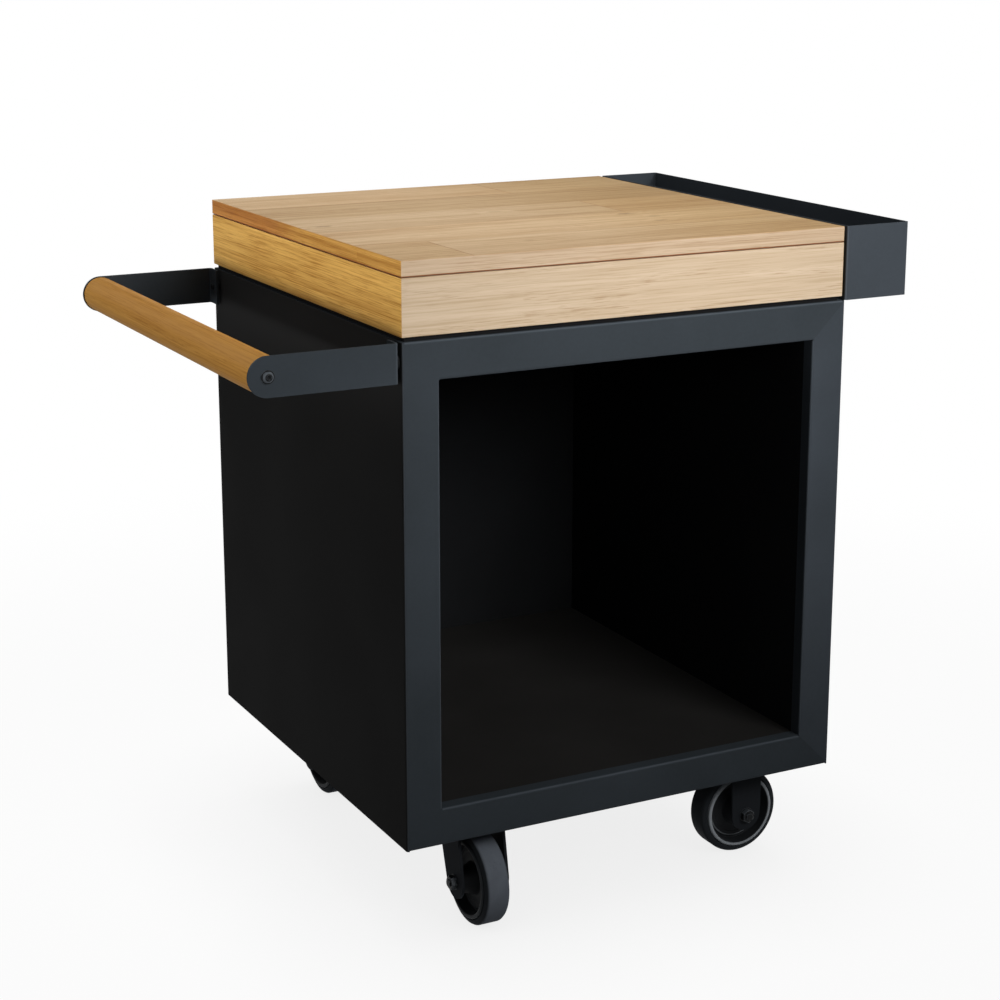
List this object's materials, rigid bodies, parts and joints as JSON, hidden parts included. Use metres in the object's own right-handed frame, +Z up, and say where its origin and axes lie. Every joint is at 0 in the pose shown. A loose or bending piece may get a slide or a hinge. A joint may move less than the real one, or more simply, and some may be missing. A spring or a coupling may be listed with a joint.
{
  "type": "mobile outdoor prep table",
  "caption": "Square steel cabinet on casters with an open log compartment, thick wooden worktop, wooden push bar on the left and a planter trough on the right.",
  "frame": {"origin": "on the floor, under the middle of the table's bounding box", "axes": "+X to the right towards the planter, +Y to the closed back, +Z up"},
  "size_m": [0.947, 0.6588, 0.912],
  "materials": {
    "powder_coat": "matte black powder coat with a fine texture",
    "board_wood": "oiled hardwood staves",
    "apron_wood": "oiled hardwood boards",
    "bar_wood": "oiled turned hardwood",
    "hidden_wood": "plain sawn wood",
    "pad_rubber": "matte black rubber",
    "caster_steel": "satin black coating",
    "axle_steel": "blackened steel",
    "black_screw": "blackened steel",
    "zinc_steel": "zinc plated",
    "wheel_hub": "moulded black nylon",
    "tyre": "dark grey elastic rubber"
  },
  "bodies": {
    "cabinet": {"left_side_panel": "powder_coat", "right_side_panel": "powder_coat", "top_deck": "powder_coat", "base_pan": "powder_coat", "back_panel": "powder_coat", "inner_left_wall": "powder_coat", "inner_right_wall": "powder_coat", "inner_floor": "powder_coat", "inner_ceiling": "powder_coat", "planter_trough": "powder_coat", "handle_bracket_front": "powder_coat", "handle_bracket_back": "powder_coat", "front_caster_channel": "zinc_steel", "rear_caster_channel": "zinc_steel", "apron_front": "apron_wood", "apron_back": "apron_wood", "apron_left": "apron_wood", "apron_right": "apron_wood", "stave_front_left": "board_wood", "stave_front_right": "board_wood", "stave_row_2": "board_wood", "stave_middle_left": "board_wood", "stave_middle_right": "board_wood", "stave_row_4": "board_wood", "stave_back_left": "board_wood", "stave_back_right": "board_wood", "board_battens": "hidden_wood", "corner_blocks": "hidden_wood", "caster_bolts": "zinc_steel", "caster_nuts": "zinc_steel", "worktop_screws": "zinc_steel", "planter_screws": "zinc_steel", "bar_inserts": "zinc_steel", "bar_screws": "black_screw", "bracket_screws": "black_screw", "handle_bar": "bar_wood", "worktop_pads": "pad_rubber", "left_front_plate": "caster_steel", "left_front_kingpin": "zinc_steel", "left_rear_plate": "caster_steel", "left_rear_kingpin": "zinc_steel", "right_front_fork": "caster_steel", "right_rear_fork": "caster_steel", "right_axles": "axle_steel"},
    "left_front_swivel": {"left_front_ball_ring": "zinc_steel", "left_front_fork": "caster_steel", "left_front_axle": "axle_steel"},
    "left_front_wheel": {"left_front_hub": "wheel_hub", "left_front_tyre": "tyre"},
    "left_rear_swivel": {"left_rear_ball_ring": "zinc_steel", "left_rear_fork": "caster_steel", "left_rear_axle": "axle_steel"},
    "left_rear_wheel": {"left_rear_hub": "wheel_hub", "left_rear_tyre": "tyre"},
    "right_front_wheel": {"right_front_hub": "wheel_hub", "right_front_tyre": "tyre"},
    "right_rear_wheel": {"right_rear_hub": "wheel_hub", "right_rear_tyre": "tyre"}
  },
  "joints": [
    {"name": "left_front_swivel_turn", "type": "hinge", "parent": "cabinet", "child": "left_front_swivel", "pos_m": [-0.1395, -0.21, 0.141], "axis": [0, 0, 1], "continuous": true},
    {"name": "left_front_wheel_spin", "type": "hinge", "parent": "left_front_swivel", "child": "left_front_wheel", "pos_m": [-0.1395, -0.252, 0.0625], "axis": [1, 0, 0], "continuous": true},
    {"name": "left_rear_swivel_turn", "type": "hinge", "parent": "cabinet", "child": "left_rear_swivel", "pos_m": [-0.1395, 0.21, 0.141], "axis": [0, 0, 1], "continuous": true},
    {"name": "left_rear_wheel_spin", "type": "hinge", "parent": "left_rear_swivel", "child": "left_rear_wheel", "pos_m": [-0.1395, 0.252, 0.0625], "axis": [1, 0, 0], "continuous": true},
    {"name": "right_front_wheel_spin", "type": "hinge", "parent": "cabinet", "child": "right_front_wheel", "pos_m": [0.2935, -0.21, 0.0625], "axis": [0, 1, 0], "continuous": true},
    {"name": "right_rear_wheel_spin", "type": "hinge", "parent": "cabinet", "child": "right_rear_wheel", "pos_m": [0.2935, 0.21, 0.0625], "axis": [0, 1, 0], "continuous": true}
  ]
}
